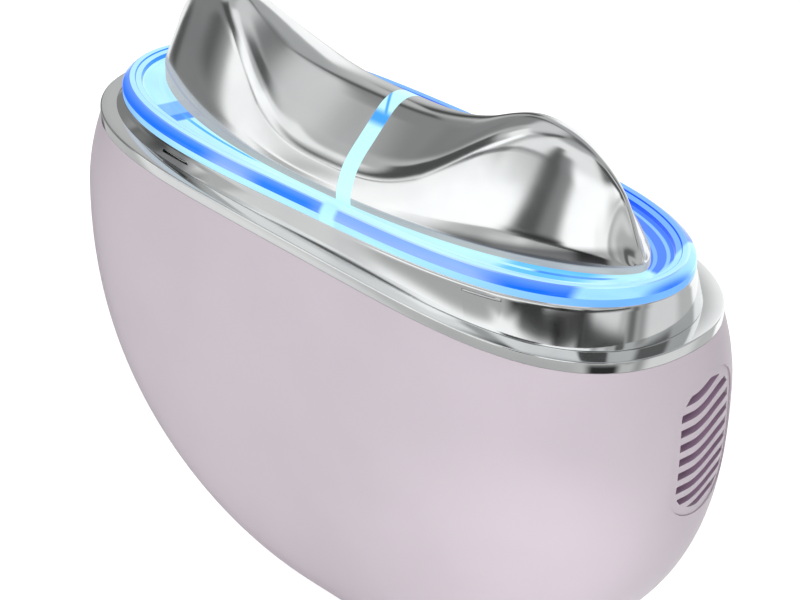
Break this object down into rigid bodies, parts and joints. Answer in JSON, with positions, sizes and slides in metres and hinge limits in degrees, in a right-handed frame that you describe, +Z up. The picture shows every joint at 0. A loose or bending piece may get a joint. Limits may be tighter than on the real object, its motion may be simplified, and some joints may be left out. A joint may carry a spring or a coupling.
{
  "type": "microcurrent facial wand",
  "caption": "Palm-held half-moon facial device with a chrome rim and collar, a light ring and two lobed electrode halves.",
  "frame": {"origin": "centre of the bounding box at the bottom, under the middle of the flat foot", "axes": "+X along the body towards the end with the fan vent, -Y out of the plain front face, +Z up towards the electrodes"},
  "size_m": [0.1022, 0.0406, 0.0804],
  "materials": {
    "satin_lavender": "satin",
    "dark_lavender": "satin",
    "chrome": "polished",
    "light_guide": "clear, lit blue",
    "black_rubber": "matte",
    "white_plastic": "moulded",
    "black_plastic": "moulded",
    "board_green": "solder mask",
    "steel": "plain",
    "battery_foil": "wrapped"
  },
  "bodies": {
    "housing": {"body_shell": "satin_lavender", "bezel": "chrome", "bezel_gasket": "black_rubber", "head_collar": "chrome", "light_ring": "light_guide", "electrode_left": "chrome", "electrode_right": "chrome", "light_strip": "light_guide", "electrode_carrier": "white_plastic", "contact_screw_left": "steel", "contact_screw_right": "steel", "led_board": "board_green", "vent_panel_right": "dark_lavender", "vent_panel_left": "dark_lavender", "vent_mesh_right": "black_plastic", "vent_mesh_left": "black_plastic", "fan_frame": "black_plastic", "vent_duct": "white_plastic", "chassis": "white_plastic", "battery_cell": "battery_foil", "main_board": "board_green", "board_screw_1": "steel", "board_screw_2": "steel", "board_screw_3": "steel", "board_screw_4": "steel", "switch_power": "black_plastic", "switch_mode": "black_plastic", "indicator_lens": "light_guide", "usb_socket": "steel", "usb_gasket": "black_rubber", "port_board": "board_green", "vibration_motor": "steel"},
    "power_key": {"power_button": "dark_lavender"},
    "mode_key": {"mode_button": "dark_lavender"},
    "rotor": {"fan_rotor": "black_plastic"},
    "weight": {"motor_weight": "steel"}
  },
  "joints": [
    {"name": "power_press", "type": "slide", "parent": "housing", "child": "power_key", "axis": [0, -1, 0], "range_m": [0, 0.0006], "stiffness_N_per_m": 400},
    {"name": "mode_press", "type": "slide", "parent": "housing", "child": "mode_key", "axis": [0, -1, 0], "range_m": [0, 0.0006], "stiffness_N_per_m": 400},
    {"name": "fan_spin", "type": "hinge", "parent": "housing", "child": "rotor", "pos_m": [0.0337, 0.0041, 0.04398], "axis": [1, 0, 0], "continuous": true},
    {"name": "weight_spin", "type": "hinge", "parent": "housing", "child": "weight", "pos_m": [0.0041, 0.0062, 0.0154], "axis": [1, 0, 0], "continuous": true}
  ]
}
